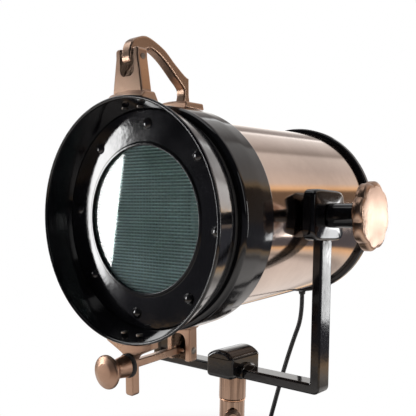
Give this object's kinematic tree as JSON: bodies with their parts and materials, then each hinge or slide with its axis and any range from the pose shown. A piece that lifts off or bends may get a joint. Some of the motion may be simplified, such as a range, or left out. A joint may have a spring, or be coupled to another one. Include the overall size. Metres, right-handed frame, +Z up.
{
  "type": "tabletop searchlight lamp",
  "caption": "Tabletop searchlight lamp: bronze drum head with a hinged front door, tilting in a flat-bar yoke that turns on a short column and weighted base.",
  "frame": {"origin": "centre of the base's underside, on the column's axis, at table height", "axes": "+Z up, the lamp faces -Y, the tilt axis runs along X with the column on Z"},
  "size_m": [0.2988, 0.4344, 0.4702],
  "materials": {
    "black_enamel": "glossy black stove enamel with slight orange peel",
    "polished_bronze": "polished and lightly brushed bronze sheet",
    "cast_bronze": "satin cast bronze",
    "aged_bronze": "aged bronze tube, semi-polished",
    "bright_copper": "polished copper ring",
    "steel_hardware": "plain steel",
    "black_screws": "black domed screw heads, glossy",
    "bright_aluminium": "bright spun aluminium",
    "black_rubber": "matt black rubber",
    "tinted_glass": "clear glass tinted blue-green",
    "bulb_glass": "clear bulb glass",
    "bulb_brass": "plain brass",
    "white_ceramic": "glazed white ceramic",
    "green_felt": "dense felt",
    "cord_black": "black flexible cord sheath",
    "black_plastic": "moulded black plastic"
  },
  "bodies": {
    "stand": {"base_casting": "black_enamel", "base_felt": "green_felt", "column_flange": "cast_bronze", "column_nut": "steel_hardware", "column_tube": "aged_bronze", "thrust_ring": "bright_copper"},
    "pan_button": {"pan_lock_button": "cast_bronze"},
    "yoke": {"yoke_frame": "black_enamel", "yoke_hub": "black_enamel", "right_boss": "black_enamel", "left_boss": "black_enamel", "right_spacer": "black_enamel", "left_spacer": "black_enamel", "swivel_bolt": "steel_hardware", "column_sleeve": "aged_bronze", "pan_spindle": "steel_hardware", "power_cord": "cord_black", "cord_lead": "cord_black", "cord_tail": "cord_black", "cord_coil": "cord_black", "switch_case": "black_plastic", "plug_body": "black_plastic", "plug_pins": "bulb_brass"},
    "rocker": {"switch_rocker": "black_plastic"},
    "right_knob": {"right_tilt_knob": "cast_bronze"},
    "left_knob": {"left_tilt_knob": "cast_bronze"},
    "head": {"front_collar": "black_enamel", "drum_shell": "polished_bronze", "rear_ring": "black_enamel", "rear_cover": "black_enamel", "rear_cover_screws": "steel_hardware", "right_pivot_pad": "black_enamel", "left_pivot_pad": "black_enamel", "right_pivot_stud": "steel_hardware", "left_pivot_stud": "steel_hardware", "reflector": "bright_aluminium", "reflector_posts": "steel_hardware", "lamp_holder": "white_ceramic", "lamp_bracket": "steel_hardware", "bulb_cap": "bulb_brass", "bulb_glass": "bulb_glass", "terminal_block": "white_ceramic", "hinge_arm": "cast_bronze", "hinge_pin": "steel_hardware", "latch_fork": "cast_bronze", "latch_pin": "steel_hardware", "latch_rod": "aged_bronze", "cable_gland": "black_rubber"},
    "door": {"door_hood": "black_enamel", "lens_plate": "black_enamel", "lens_plate_screws": "black_screws", "glass_lens": "tinted_glass", "wire_mesh": "steel_hardware", "lens_retainer": "bright_aluminium", "door_seal": "black_rubber", "hinge_clevis": "cast_bronze", "latch_lug": "cast_bronze", "door_bracket_screws": "steel_hardware", "latch_washer": "black_rubber"},
    "latch_knob": {"thumb_knob": "cast_bronze"}
  },
  "joints": [
    {"name": "pan", "type": "hinge", "parent": "stand", "child": "yoke", "pos_m": [0, 0, 0.15], "axis": [0, 0, 1], "range_deg": [-170, 170]},
    {"name": "tilt", "type": "hinge", "parent": "yoke", "child": "head", "pos_m": [0, 0, 0.325], "axis": [-1, 0, 0], "range_deg": [-18, 40], "deforming": ["power_cord"]},
    {"name": "right_tilt_lock", "type": "hinge", "parent": "yoke", "child": "right_knob", "pos_m": [0.14, 0, 0.325], "axis": [1, 0, 0], "range_deg": [0, 360]},
    {"name": "left_tilt_lock", "type": "hinge", "parent": "yoke", "child": "left_knob", "pos_m": [-0.14, 0, 0.325], "axis": [-1, 0, 0], "range_deg": [0, 360]},
    {"name": "door_hinge", "type": "hinge", "parent": "head", "child": "door", "pos_m": [0, -0.15463, 0.44954], "axis": [-1, 0, 0], "range_deg": [0, 105]},
    {"name": "door_latch", "type": "hinge", "parent": "door", "child": "latch_knob", "pos_m": [0, -0.16213, 0.19456], "axis": [0, -0.998, -0.0628], "range_deg": [0, 360]},
    {"name": "pan_lock", "type": "hinge", "parent": "stand", "child": "pan_button", "pos_m": [0.00823, -0.0098, 0.1221], "axis": [0.6428, -0.766, 0], "range_deg": [0, 360]},
    {"name": "switch_rocker_pivot", "type": "hinge", "parent": "yoke", "child": "rocker", "pos_m": [0.032, 0.177, 0.011], "axis": [0, 1, 0], "range_deg": [-8, 8]}
  ]
}
